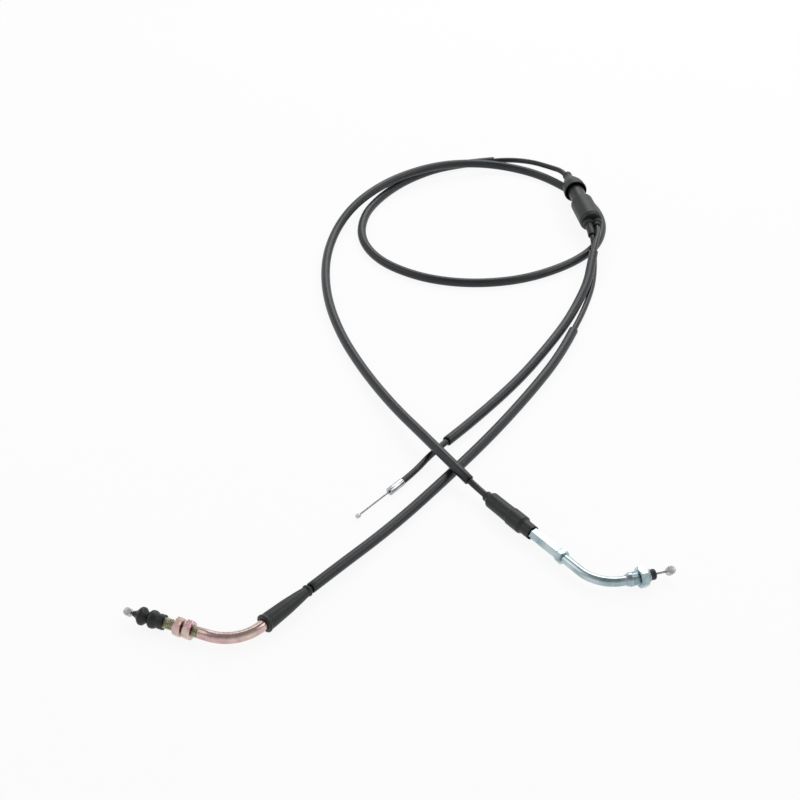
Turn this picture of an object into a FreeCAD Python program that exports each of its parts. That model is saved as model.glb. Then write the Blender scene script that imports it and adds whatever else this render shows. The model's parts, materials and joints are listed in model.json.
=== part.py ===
"""Motorcycle throttle cable with a one-into-two splitter, laid out on a flat surface.

One cable runs from the throttle elbow to the splitter, and two run on from there:
one to the carburettor, one to the oil pump. Millimetres, +Z up, floor at Z = 0.
"""
import FreeCAD
import Part
import math
import os

V = FreeCAD.Vector
UP = V(0, 0, 1)

# Clearances
FIT_GAP = 0.05            # radial, between pieces fixed to each other
RUNNING_GAP = 0.08        # radial, threads and sliding pieces
FREE_GAP = 0.3            # between pieces that move past each other
CORD_GAP = 0.2            # radial, round a conduit in a cup or a neck
NECK_GAP = 0.45           # radial, round a conduit that leaves a neck on a bend
END_GAP = 0.1             # at a conduit's cut end

# Conduit, the same on all three cables
CASING_RADIUS = 2.5
CASING_BORE = 1.65
LINER_RADIUS = 1.3
LINER_BORE = 1.02
SLEEVE_RADIUS = 4.0
SLEEVE_BORE = CASING_RADIUS + 0.5
CONDUIT_FERRULE_LENGTH = 8.0
CONDUIT_FERRULE_RADIUS = CASING_RADIUS + 0.8
ARC_SHARE = 0.45          # part of the shorter run that a corner's arc takes

# Wires
THROTTLE_WIRE_RADIUS = 0.72
BRANCH_WIRE_RADIUS = 0.6
PULL = 14.0               # travel of the wires
WIRE_JOIN_GAP = 0.4       # between a moving wire end and the wire that stays

# Routes of the conduits' centre lines, end to end
THROTTLE_ROUTE = [
    (69.4, -173.4, 7.1), (54.8, -154.4, 7.1), (39.8, -137.7, 13), (15.6, -98.5, 13),
    (-10, -51.5, 8), (-34.9, 3.2, 4), (-55.5, 55.8, 4), (-69.3, 113.8, 4),
    (-72.9, 172, 4), (-66.6, 221.2, 4.6), (-52.7, 256.4, 9.8), (-32.7, 286.4, 13),
    (-5.7, 316.8, 13), (30.4, 339.6, 13), (64.9, 349.6, 11), (98.6, 352.9, 6.5),
    (134.9, 339.3, 4), (162.1, 309.3, 4), (183, 277.9, 4), (190, 244, 4),
    (184, 210.9, 4), (170.2, 186.2, 4), (145.3, 162.9, 4), (109.6, 142.7, 4),
    (72.2, 135, 4), (37.9, 137.6, 4), (6.7, 149.4, 4), (-24.3, 174.5, 4),
    (-41.2, 212.4, 4), (-39.2, 254.7, 4), (-25.2, 288.7, 4), (-2.7, 321.1, 4),
    (26.4, 346.5, 4), (52.1, 358.2, 4), (78.9, 364.8, 4), (106.1, 367.9, 5),
    (129.1, 356.8, 8.5), (145.6, 337.4, 13), (160, 319.9, 16.5), (163.7, 297.7, 16.5),
]
PUMP_ROUTE = [
    (170.6, 234.5, 16.5), (175.1, 207.9, 16.5), (175.1, 180.9, 7.5), (172.7, 155.5, 3),
    (168, 129.5, 2.7), (159.7, 100.8, 3.2), (150.4, 73.5, 4.2), (129, 20.8, 4),
    (103.4, -26.2, 4), (68.9, -82.6, 4), (30.6, -137.5, 4), (-9.3, -191.5, 4.2),
    (-51.1, -241.6, 7), (-77.3, -271.9, 7),
]
CARB_ROUTE = [
    (177.7, 235.7, 16.5), (182.2, 209.1, 16.5), (175.5, 182.6, 16.8), (169.8, 157.6, 12.6),
    (163.7, 129.8, 8.3), (153.2, 102.7, 5.4), (139.9, 71.8, 4), (120.6, 34.9, 4),
    (93, -12.6, 4), (54.1, -66.1, 4), (20.9, -106.1, 4), (6.5, -129.5, 3),
    (-7.6, -146.3, 3),
]
# Where each sleeve starts and ends: (run, share of that run)
THROTTLE_SLEEVE = ((1, 0.47), (34, 0.5))
PUMP_SLEEVE = ((6, 0.24), (12, 0.55))
CARB_SLEEVE = ((2, 0.47), (9, 0.64))

# Throttle end: stations run along the adjuster from the boot's narrow end
THROTTLE_NECK = V(59.7, -160.7, 7.1)
ADJUSTER_HEADING = -52.5
THROTTLE_OUTLET_HEADING = 16.9
ADJUSTER_BOOT_LENGTH = 52.3
HEX_START = 19.0
HEX_END = 80.1
HEX_ACROSS_FLATS = 8.0
LOCK_NUT_ACROSS_FLATS = 10.0
LOCK_NUT_LENGTH = 5.0
REAR_THREAD_RADIUS = 3.0
REAR_THREAD_START = 45.0
FERRULE_NOSE_RADIUS = 2.0
ELBOW_RADIUS = 3.5
ELBOW_BORE = 1.9
ELBOW_CORNER = 120.7      # station where the two straight axes of the elbow meet
ELBOW_BEND_RADIUS = 28.0
COLLAR_START = 19.8       # stations from here on run along the outlet from the corner
COLLAR_FLARE_LENGTH = 4.6
COLLAR_FLARE_RADIUS = 5.25
COLLAR_END = 37.6
COLLAR_RADIUS = 5.0
THROTTLE_NUT_START = 29.3
THROTTLE_NUT_LENGTH = 6.2
THROTTLE_NUT_ACROSS_FLATS = 14.0
BUSH_LENGTH = 4.5
BUSH_RADIUS = 4.0
THROTTLE_NIPPLE_STATION = 53.6
THROTTLE_NIPPLE_RADIUS = 3.1
THROTTLE_NIPPLE_LENGTH = 6.0

# Pump end: stations run along the inlet from the boot's narrow end
PUMP_NECK = V(-66.8, -259.8, 7)
PUMP_INLET_HEADING = -130.8
PUMP_OUTLET_HEADING = 158.7
PUMP_BOOT_LENGTH = 43.4
PUMP_TUBE_START = 10.0
PUMP_TUBE_RADIUS = 4.0
PUMP_TUBE_BORE = 3.2
PUMP_CORNER = 67.6
PUMP_BEND_RADIUS = 30.0
PUMP_THREAD_START = 26.8  # stations from here on run along the outlet from the corner
PUMP_THREAD_END = 59.2
PUMP_THREAD_RADIUS = 3.9
PUMP_NUT_LENGTH = 5.6
PUMP_NUT_ACROSS_FLATS = 12.0
PUMP_REAR_NUT_START = 33.3
PUMP_FRONT_NUT_START = 40.7
BELLOWS_START = 54.4
BELLOWS_END = 78.8
BELLOWS_BORE = 2.0
BELLOWS_MOUTH_LENGTH = 6.0
BELLOWS_MOUTH_RADIUS = 5.3
BELLOWS_LOBE_RADIUS = 6.35
BELLOWS_LOBE_PITCH = 8.2
BELLOWS_WAIST_RADIUS = 3.5
BELLOWS_TIP_RADIUS = 1.5
PUMP_NIPPLE_STATION = 82.1
PUMP_NIPPLE_RADIUS = 2.8
PUMP_NIPPLE_LENGTH = 6.0

# Carburettor end: stations run along the ferrule from its conduit side
CARB_FERRULE_START = V(-2.5, -140.2, 3)
CARB_HEADING = -130.0
CARB_FERRULE_LENGTH = 14.7
CARB_FERRULE_RADIUS = 3.0
CARB_CONDUIT_DEPTH = 8.0
CARB_NIPPLE_START = 48.5
CARB_NIPPLE_LENGTH = 3.0
CARB_NIPPLE_RADIUS = 1.7
CARB_WIRE_TAIL = 11.0

# Splitter: stations run from the input end to the outlets
SPLITTER_START = V(161, 314, 16.5)
SPLITTER_HEADING = -80.5
INPUT_CAP_LENGTH = 34.0
INPUT_CONDUIT_END = 16.5
BARREL_START = 22.0
BARREL_END = 70.0
BARREL_RADIUS = 7.75
BARREL_BORE = 6.2
OUTPUT_BOOT_START = 56.0
OUTPUT_BOOT_END = 93.0
OUTPUT_BOOT_RADIUS = BARREL_RADIUS + 2.95
OUTLET_END = 101.0
OUTPUT_CAP_START = 60.0
OUTPUT_CAP_END = 90.0
OUTPUT_CAP_RADIUS = BARREL_RADIUS + 1.45
OUTLET_SIDE = CONDUIT_FERRULE_RADIUS + 0.3    # each outlet's distance from the splitter's axis
OUTPUT_CONDUIT_START = 80.0
SLIDER_START = 50.0
SLIDER_LENGTH = 14.0
SLIDER_NIPPLE_RADIUS = 1.7
SLIDER_NIPPLE_LENGTH = 5.0


# ---------- shared shapes ----------

def direction(heading):
    angle = math.radians(heading)
    return V(math.cos(angle), math.sin(angle), 0)


def along(origin, heading, station, side=0.0):
    """Point at a station of a level axis; side counts to the right of the heading."""
    forward = direction(heading)
    return origin + forward * station + forward.cross(UP) * side


def placed(shape, origin, heading, station=0.0, side=0.0):
    """Turn local Z to the heading, with local X up and local Y to the right."""
    forward = direction(heading)
    turn = FreeCAD.Rotation(UP, forward.cross(UP), forward, "ZXY")
    moved = shape.copy()
    moved.Placement = FreeCAD.Placement(along(origin, heading, station, side), turn)
    return moved


def revolved(edges):
    return Part.Face(Part.Wire(edges)).revolve(V(), UP, 360)


def turned(outline, bore=0.0):
    """Solid of revolution about local Z from (station, radius) corners and one bore."""
    corners = [V(bore, 0, outline[0][0])]
    corners += [V(radius, 0, station) for station, radius in outline]
    corners.append(V(bore, 0, outline[-1][0]))
    return Part.Face(Part.makePolygon(corners + corners[:1])).revolve(V(), UP, 360)


def rod(radius, start, end, side=0.0):
    return Part.makeCylinder(radius, end - start, V(0, side, start), UP)


def ring(radius, bore, start, end):
    return turned([(start, radius), (end, radius)], bore)


def hexagon(across_flats, bore, start, end, chamfer=0.6):
    """Hexagonal prism with turned corners, one flat facing down."""
    corner = across_flats / math.sqrt(3)
    points = []
    for k in range(7):
        angle = math.radians(30 + 60 * k)
        points.append(V(corner * math.cos(angle), corner * math.sin(angle), start))
    prism = Part.Face(Part.makePolygon(points)).extrude(V(0, 0, end - start))
    flat = across_flats / 2
    envelope = turned([(start, flat), (start + chamfer, corner), (end - chamfer, corner), (end, flat)])
    return prism.common(envelope).cut(rod(bore, start - 1, end + 1))


def cross_barrel(radius, length, station, wire_radius):
    """Barrel nipple lying across the wire, drilled for it."""
    barrel = Part.makeCylinder(radius, length, V(0, -length / 2, station), V(0, 1, 0))
    return barrel.cut(rod(wire_radius + FIT_GAP, station - radius - 1, station + radius + 1))


def upright_barrel(radius, length, station, side, wire_radius):
    """Small nipple standing upright across its wire, drilled for it."""
    barrel = Part.makeCylinder(radius, length, V(-length / 2, side, station), V(1, 0, 0))
    return barrel.cut(rod(wire_radius + FIT_GAP, station - radius - 1, station + radius + 1, side))


def conduit_ferrule(cup_start, cup_end, wall_length=1.5):
    """Metal cup that takes a conduit from its cup_start end and passes the wire."""
    inner = cup_end - wall_length if cup_end > cup_start else cup_end + wall_length
    low, high = min(cup_start, cup_end), max(cup_start, cup_end)
    body = ring(CONDUIT_FERRULE_RADIUS, LINER_BORE, low, high)
    return body.cut(rod(CASING_RADIUS + CORD_GAP, min(cup_start, inner), max(cup_start, inner)))


# ---------- routes ----------

def corner_arc(before, corner, after, tangent):
    """Tangent arc at a corner: the arc and its radius."""
    back = (before - corner).normalize()
    ahead = (after - corner).normalize()
    half_turn = (math.pi - back.getAngle(ahead)) / 2
    radius = tangent / math.tan(half_turn)
    first = corner + back * tangent
    last = corner + ahead * tangent
    inward = (back + ahead).normalize()
    middle = corner + inward * (radius / math.cos(half_turn) - radius)
    return Part.Arc(first, middle, last), radius


def route_pieces(points):
    """Straight runs and arcs of a route, with the radius of every arc."""
    corners = [V(*point) for point in points]
    runs = [[corners[0], None]]
    arcs = []
    radii = []
    for before, corner, after in zip(corners, corners[1:], corners[2:]):
        tangent = ARC_SHARE * min((corner - before).Length, (after - corner).Length)
        arc, radius = corner_arc(before, corner, after, tangent)
        runs[-1][1] = arc.StartPoint
        runs.append([arc.EndPoint, None])
        arcs.append(arc)
        radii.append(radius)
    runs[-1][1] = corners[-1]
    return corners, runs, arcs, radii


def stretch(points, start=None, end=None):
    """Edges of a route between two places given as (run, share of that run).

    A share of None takes the whole straight part of the run.
    """
    corners, runs, arcs, _ = route_pieces(points)
    first = start[0] if start else 0
    last = end[0] if end else len(runs) - 1
    if start and start[1] is not None:
        runs[first][0] = corners[first] + (corners[first + 1] - corners[first]) * start[1]
    if end and end[1] is not None:
        runs[last][1] = corners[last] + (corners[last + 1] - corners[last]) * end[1]
    edges = []
    for k in range(first, last + 1):
        edges.append(Part.LineSegment(*runs[k]).toShape())
        if k < last:
            edges.append(arcs[k].toShape())
    return edges


def bend(origin, heading_in, corner_station, heading_out, radius, start, end):
    """Edges of a line, arc and line: start counts on the inlet, end on the outlet."""
    corner = along(origin, heading_in, corner_station)
    turn = math.radians(heading_out - heading_in)
    half = abs((turn + math.pi) % (2 * math.pi) - math.pi) / 2
    tangent = radius * math.tan(half)
    begin = along(origin, heading_in, start)
    finish = along(corner, heading_out, end)
    arc, _ = corner_arc(begin, corner, finish, tangent)
    return [
        Part.LineSegment(begin, arc.StartPoint).toShape(),
        arc.toShape(),
        Part.LineSegment(arc.EndPoint, finish).toShape(),
    ]


def swept(edges, radius, bore=0.0):
    """Round tube, or rod without a bore, along a chain of edges."""
    path = Part.Wire(edges)
    first = path.OrderedEdges[0]
    start = first.valueAt(first.FirstParameter)
    tangent = first.tangentAt(first.FirstParameter)
    tube = path.makePipe(Part.Face(Part.Wire(Part.makeCircle(radius, start, tangent))))
    if bore:
        tube = tube.cut(path.makePipe(Part.Face(Part.Wire(Part.makeCircle(bore, start, tangent)))))
    section = math.pi * (radius ** 2 - bore ** 2)
    expected = section * path.Length
    if abs(tube.Volume - expected) > 0.01 * expected:
        print("volume differs:", round(tube.Volume, 1), round(expected, 1))
    return tube


parts = {}


def conduit(name, route, sleeve):
    """Casing, liner and outer sleeve of one cable."""
    full = stretch(route)
    parts[name + "_casing"] = swept(full, CASING_RADIUS, CASING_BORE)
    parts[name + "_liner"] = swept(full, LINER_RADIUS, LINER_BORE)
    parts[name + "_sleeve"] = swept(stretch(route, *sleeve), SLEEVE_RADIUS, SLEEVE_BORE)
    radii = route_pieces(route)[3]
    length = Part.Wire(full).Length
    print(name, "length", round(length, 1), "arc radii", [round(radius) for radius in radii])


# ---------- throttle end ----------

def throttle_end():
    def on_adjuster(shape, station=0.0):
        return placed(shape, THROTTLE_NECK, ADJUSTER_HEADING, station)

    corner = along(THROTTLE_NECK, ADJUSTER_HEADING, ELBOW_CORNER)

    def on_outlet(shape):
        return placed(shape, corner, THROTTLE_OUTLET_HEADING)

    def elbow_path(start, end):
        return bend(THROTTLE_NECK, ADJUSTER_HEADING, ELBOW_CORNER, THROTTLE_OUTLET_HEADING,
                    ELBOW_BEND_RADIUS, start, end)

    conduit_end = (V(*THROTTLE_ROUTE[0]) - THROTTLE_NECK).Length
    ferrule_end = conduit_end + 2 + END_GAP
    nose_end = HEX_START + 7
    hex_corner = HEX_ACROSS_FLATS / math.sqrt(3)
    boot_bore = hex_corner + FREE_GAP

    ferrule = conduit_ferrule(ferrule_end - CONDUIT_FERRULE_LENGTH, ferrule_end, 2)
    nose = ring(FERRULE_NOSE_RADIUS, LINER_BORE, ferrule_end, nose_end)
    parts["throttle_conduit_ferrule"] = on_adjuster(ferrule.fuse(nose).removeSplitter())

    adjuster = hexagon(HEX_ACROSS_FLATS, FERRULE_NOSE_RADIUS + RUNNING_GAP, HEX_START, HEX_END)
    adjuster = adjuster.cut(rod(REAR_THREAD_RADIUS + RUNNING_GAP, nose_end + 1, HEX_END + 1))
    parts["adjuster_hex"] = on_adjuster(adjuster)

    lock_nut_start = HEX_END + FIT_GAP
    lock_nut_end = lock_nut_start + LOCK_NUT_LENGTH
    lock_nut = hexagon(LOCK_NUT_ACROSS_FLATS, REAR_THREAD_RADIUS + RUNNING_GAP,
                       lock_nut_start, lock_nut_end)
    parts["adjuster_lock_nut"] = on_adjuster(lock_nut)

    elbow_start = lock_nut_end + FREE_GAP
    tube_end = COLLAR_END - 0.6
    elbow = swept(elbow_path(elbow_start, tube_end), ELBOW_RADIUS, ELBOW_BORE)
    spigot = on_adjuster(ring(REAR_THREAD_RADIUS, ELBOW_BORE, REAR_THREAD_START, elbow_start))
    parts["throttle_elbow"] = elbow.fuse(spigot).removeSplitter()
    parts["throttle_elbow_liner"] = swept(elbow_path(REAR_THREAD_START + 1, tube_end - 1),
                                          ELBOW_BORE - RUNNING_GAP, LINER_BORE)

    flare_end = COLLAR_START + COLLAR_FLARE_LENGTH
    collar = turned([(COLLAR_START, ELBOW_RADIUS + 0.5), (flare_end - 1.4, COLLAR_FLARE_RADIUS),
                     (flare_end, COLLAR_FLARE_RADIUS), (flare_end, COLLAR_RADIUS),
                     (COLLAR_END - 0.4, COLLAR_RADIUS), (COLLAR_END, COLLAR_RADIUS - 0.4)],
                    ELBOW_RADIUS + FIT_GAP)
    parts["throttle_collar"] = on_outlet(collar)
    nut_end = THROTTLE_NUT_START + THROTTLE_NUT_LENGTH
    nut = hexagon(THROTTLE_NUT_ACROSS_FLATS, COLLAR_RADIUS + RUNNING_GAP, THROTTLE_NUT_START, nut_end, 1.0)
    parts["throttle_nut"] = on_outlet(nut)

    bush_start = COLLAR_END + FIT_GAP
    bush_end = bush_start + BUSH_LENGTH
    bush = turned([(bush_start, BUSH_RADIUS), (bush_end - 0.8, BUSH_RADIUS),
                   (bush_end, BUSH_RADIUS - 0.8)], THROTTLE_WIRE_RADIUS + FREE_GAP)
    parts["throttle_end_bush"] = on_outlet(bush)

    wire_tail = COLLAR_START + 2
    wire_tip = THROTTLE_NIPPLE_STATION + THROTTLE_NIPPLE_RADIUS - 0.6
    parts["throttle_wire_end"] = on_outlet(rod(THROTTLE_WIRE_RADIUS, wire_tail, wire_tip))
    nipple = cross_barrel(THROTTLE_NIPPLE_RADIUS, THROTTLE_NIPPLE_LENGTH,
                          THROTTLE_NIPPLE_STATION, THROTTLE_WIRE_RADIUS)
    parts["throttle_nipple"] = on_outlet(nipple)
    elbow_wire = elbow_path(REAR_THREAD_START + 2, wire_tail - WIRE_JOIN_GAP)
    parts["elbow_wire_run"] = swept(elbow_wire, THROTTLE_WIRE_RADIUS)

    neck_end = ferrule_end - CONDUIT_FERRULE_LENGTH - FREE_GAP
    shoulder = HEX_START - FREE_GAP
    rim = CASING_RADIUS + 1.5
    body = CONDUIT_FERRULE_RADIUS + 2.9
    boot = turned([(0, rim - 0.4), (0.5, rim), (2, rim), (2.6, rim - 0.3), (4, rim + 0.5), (6.3, body - 0.2),
                   (28, body), (28.8, body + 0.6), (41.4, body + 0.6), (42.2, body), (43, boot_bore + 0.6),
                   (ADJUSTER_BOOT_LENGTH, boot_bore + 0.5)])
    boot = boot.cut(rod(CASING_RADIUS + CORD_GAP, -1, neck_end))
    boot = boot.cut(rod(CONDUIT_FERRULE_RADIUS + FIT_GAP, neck_end, shoulder))
    boot = boot.cut(rod(boot_bore, shoulder, ADJUSTER_BOOT_LENGTH + 1))
    parts["adjuster_boot"] = on_adjuster(boot)


# ---------- pump end ----------

def pump_bellows():
    """Two round lobes on a mouth that grips the thread, hollow inside."""
    mouth_end = BELLOWS_START + BELLOWS_MOUTH_LENGTH
    grip = PUMP_THREAD_RADIUS + FIT_GAP
    wire_bore = BRANCH_WIRE_RADIUS + FREE_GAP
    shoulder = V(BELLOWS_MOUTH_RADIUS - 0.4, 0, mouth_end - 1)
    first_lobe = V(BELLOWS_LOBE_RADIUS, 0, BELLOWS_START + 8.9)
    waist = V(BELLOWS_WAIST_RADIUS, 0, first_lobe.z + BELLOWS_LOBE_PITCH / 2)
    second_lobe = V(BELLOWS_LOBE_RADIUS, 0, first_lobe.z + BELLOWS_LOBE_PITCH)
    tip = V(BELLOWS_TIP_RADIUS + 1.1, 0, BELLOWS_END - 2.8)
    inside = [
        V(BELLOWS_TIP_RADIUS, 0, BELLOWS_END), V(wire_bore, 0, BELLOWS_END), V(wire_bore, 0, tip.z),
        V(BELLOWS_BORE, 0, tip.z - 2), V(BELLOWS_BORE, 0, mouth_end), V(grip, 0, mouth_end - 1),
        V(grip, 0, BELLOWS_START), V(BELLOWS_MOUTH_RADIUS, 0, BELLOWS_START),
        V(BELLOWS_MOUTH_RADIUS, 0, mouth_end - 2), shoulder,
    ]
    outline = [Part.Arc(shoulder, first_lobe, waist), Part.Arc(waist, second_lobe, tip)]
    outline += [Part.LineSegment(*ends) for ends in zip([tip] + inside, inside)]
    return revolved([edge.toShape() for edge in outline])


def pump_end():
    corner = along(PUMP_NECK, PUMP_INLET_HEADING, PUMP_CORNER)

    def on_inlet(shape):
        return placed(shape, PUMP_NECK, PUMP_INLET_HEADING)

    def on_outlet(shape):
        return placed(shape, corner, PUMP_OUTLET_HEADING)

    def elbow_path(start, end):
        return bend(PUMP_NECK, PUMP_INLET_HEADING, PUMP_CORNER, PUMP_OUTLET_HEADING,
                    PUMP_BEND_RADIUS, start, end)

    conduit_end = (V(*PUMP_ROUTE[-1]) - PUMP_NECK).Length
    ferrule_end = conduit_end + 1.5 + END_GAP
    ferrule_start = ferrule_end - CONDUIT_FERRULE_LENGTH
    ferrule = conduit_ferrule(ferrule_start, ferrule_end)
    ferrule = ferrule.common(rod(PUMP_TUBE_BORE - FIT_GAP, ferrule_start, ferrule_end))
    parts["pump_conduit_ferrule"] = on_inlet(ferrule)

    tube = swept(elbow_path(PUMP_TUBE_START, PUMP_THREAD_START), PUMP_TUBE_RADIUS, PUMP_TUBE_BORE)
    thread = on_outlet(ring(PUMP_THREAD_RADIUS, PUMP_TUBE_BORE, PUMP_THREAD_START, PUMP_THREAD_END))
    parts["pump_elbow"] = tube.fuse(thread).removeSplitter()
    parts["pump_elbow_liner"] = swept(elbow_path(ferrule_end + FREE_GAP, PUMP_THREAD_END - 1),
                                      PUMP_TUBE_BORE - RUNNING_GAP, LINER_BORE)

    nut_bore = PUMP_THREAD_RADIUS + RUNNING_GAP
    for place, start in (("rear", PUMP_REAR_NUT_START), ("front", PUMP_FRONT_NUT_START)):
        nut = hexagon(PUMP_NUT_ACROSS_FLATS, nut_bore, start, start + PUMP_NUT_LENGTH, 0.9)
        parts["pump_nut_" + place] = on_outlet(nut)

    parts["pump_bellows"] = on_outlet(pump_bellows())
    wire_tail = PUMP_FRONT_NUT_START
    wire_tip = PUMP_NIPPLE_STATION + PUMP_NIPPLE_RADIUS - 0.6
    parts["pump_wire_end"] = on_outlet(rod(BRANCH_WIRE_RADIUS, wire_tail, wire_tip))
    nipple = cross_barrel(PUMP_NIPPLE_RADIUS, PUMP_NIPPLE_LENGTH, PUMP_NIPPLE_STATION, BRANCH_WIRE_RADIUS)
    parts["pump_nipple"] = on_outlet(nipple)
    elbow_wire = elbow_path(conduit_end + 2.5, wire_tail - PULL - WIRE_JOIN_GAP)
    parts["pump_elbow_wire_run"] = swept(elbow_wire, BRANCH_WIRE_RADIUS)

    rim = CASING_RADIUS + 1.9
    grip = PUMP_TUBE_RADIUS + 1.5
    boot = turned([(0, rim - 0.4), (0.5, rim), (2, rim), (2.6, rim - 0.7), (11, grip - 0.9), (22, grip),
                   (38, grip + 0.7), (PUMP_BOOT_LENGTH - 2.3, grip + 0.7),
                   (PUMP_BOOT_LENGTH - 1.8, grip + 1.3), (PUMP_BOOT_LENGTH, grip + 1.3)])
    step = ferrule_start - FREE_GAP
    boot = boot.cut(rod(CASING_RADIUS + CORD_GAP, -1, step))
    boot = boot.cut(rod(CONDUIT_FERRULE_RADIUS, step, PUMP_TUBE_START - FREE_GAP))
    boot = boot.cut(rod(PUMP_TUBE_RADIUS + FIT_GAP, PUMP_TUBE_START - FREE_GAP, PUMP_BOOT_LENGTH + 1))
    parts["pump_boot"] = on_inlet(boot)


# ---------- carburettor end ----------

def carb_end():
    def on_axis(shape):
        return placed(shape, CARB_FERRULE_START, CARB_HEADING)

    ferrule = turned([(0, CARB_FERRULE_RADIUS - 0.3), (0.3, CARB_FERRULE_RADIUS),
                      (CARB_FERRULE_LENGTH - 0.5, CARB_FERRULE_RADIUS),
                      (CARB_FERRULE_LENGTH, CARB_FERRULE_RADIUS - 0.5)], LINER_BORE)
    ferrule = ferrule.cut(rod(CASING_RADIUS + CORD_GAP, -1, CARB_CONDUIT_DEPTH + END_GAP))
    parts["carb_ferrule"] = on_axis(ferrule)
    nipple_end = CARB_NIPPLE_START + CARB_NIPPLE_LENGTH
    parts["carb_wire_end"] = on_axis(rod(BRANCH_WIRE_RADIUS, CARB_WIRE_TAIL, nipple_end - 0.4))
    parts["carb_nipple"] = on_axis(ring(CARB_NIPPLE_RADIUS, BRANCH_WIRE_RADIUS + FIT_GAP,
                                        CARB_NIPPLE_START, nipple_end))


# ---------- splitter ----------

def splitter():
    def on_axis(shape):
        return placed(shape, SPLITTER_START, SPLITTER_HEADING)

    sides = (-OUTLET_SIDE, OUTLET_SIDE)

    ferrule_end = INPUT_CONDUIT_END + 1.5 + END_GAP
    ferrule_start = ferrule_end - CONDUIT_FERRULE_LENGTH
    parts["splitter_input_ferrule"] = on_axis(conduit_ferrule(ferrule_start, ferrule_end))

    rim = CASING_RADIUS + 2
    skirt = BARREL_RADIUS + 3.4
    cap = turned([(0, rim - 0.6), (0.6, rim), (3.4, rim), (4, rim - 0.5), (8, rim + 0.1), (14, skirt - 4.4),
                  (22, skirt - 1.5), (26, skirt - 0.6), (INPUT_CAP_LENGTH - 0.6, skirt),
                  (INPUT_CAP_LENGTH, skirt - 0.5)])
    cap = cap.cut(rod(CASING_RADIUS + NECK_GAP, -1, ferrule_start - FREE_GAP))
    cap = cap.cut(rod(CONDUIT_FERRULE_RADIUS + FIT_GAP, ferrule_start - FREE_GAP, ferrule_end + FREE_GAP))
    cap = cap.cut(rod(BARREL_BORE, ferrule_end + FREE_GAP, BARREL_START))
    cap = cap.cut(rod(BARREL_RADIUS + FIT_GAP, BARREL_START - FIT_GAP, INPUT_CAP_LENGTH + 1))
    skirt_bore = turned([(INPUT_CAP_LENGTH - 6, BARREL_RADIUS), (INPUT_CAP_LENGTH + 0.1, skirt - 1.4)])
    parts["splitter_input_cap"] = on_axis(cap.cut(skirt_bore))

    parts["splitter_barrel"] = on_axis(ring(BARREL_RADIUS, BARREL_BORE, BARREL_START, BARREL_END))

    cap_wall_start = BARREL_END + FIT_GAP
    ferrule_wall = OUTPUT_CONDUIT_START - 1.5 - END_GAP
    output_cap = ring(OUTPUT_CAP_RADIUS, BARREL_RADIUS + FIT_GAP, OUTPUT_CAP_START, cap_wall_start)
    output_cap = output_cap.fuse(rod(OUTPUT_CAP_RADIUS, cap_wall_start, OUTPUT_CAP_END)).removeSplitter()
    boot = turned([(OUTPUT_BOOT_START, OUTPUT_BOOT_RADIUS - 0.7),
                   (OUTPUT_BOOT_START + 0.7, OUTPUT_BOOT_RADIUS),
                   (OUTPUT_BOOT_END - 0.7, OUTPUT_BOOT_RADIUS),
                   (OUTPUT_BOOT_END, OUTPUT_BOOT_RADIUS - 0.5)])
    neck_radius = CASING_RADIUS + 1.05
    necks = None
    for side in sides:
        wide = rod(neck_radius + 1.35, OUTPUT_BOOT_END - 1, OUTPUT_BOOT_END + 4, side)
        narrow = rod(neck_radius, OUTPUT_BOOT_END - 1, OUTLET_END, side)
        neck = wide.fuse(narrow)
        necks = neck if necks is None else necks.fuse(neck)
    boot = boot.fuse(necks).removeSplitter()
    boot = boot.cut(rod(BARREL_RADIUS + FIT_GAP, OUTPUT_BOOT_START - 1, OUTPUT_CAP_START))
    boot = boot.cut(rod(OUTPUT_CAP_RADIUS + FIT_GAP, OUTPUT_CAP_START - FIT_GAP, OUTPUT_CAP_END + FIT_GAP))
    ferrules = []
    for side in sides:
        output_cap = output_cap.cut(rod(BRANCH_WIRE_RADIUS + FREE_GAP, BARREL_END - 1, ferrule_wall, side))
        output_cap = output_cap.cut(rod(CONDUIT_FERRULE_RADIUS + FIT_GAP, ferrule_wall - FIT_GAP,
                                        OUTPUT_CAP_END + 1, side))
        boot = boot.cut(rod(CASING_RADIUS + NECK_GAP, OUTPUT_CAP_END - 1, OUTLET_END + 1, side))
        cup = conduit_ferrule(ferrule_wall + CONDUIT_FERRULE_LENGTH, ferrule_wall)
        ferrules.append(placed(cup, SPLITTER_START, SPLITTER_HEADING, 0, side))
    parts["splitter_output_cap"] = on_axis(output_cap)
    parts["splitter_output_boot"] = on_axis(boot)
    parts["splitter_output_ferrules"] = Part.makeCompound(ferrules)


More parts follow.
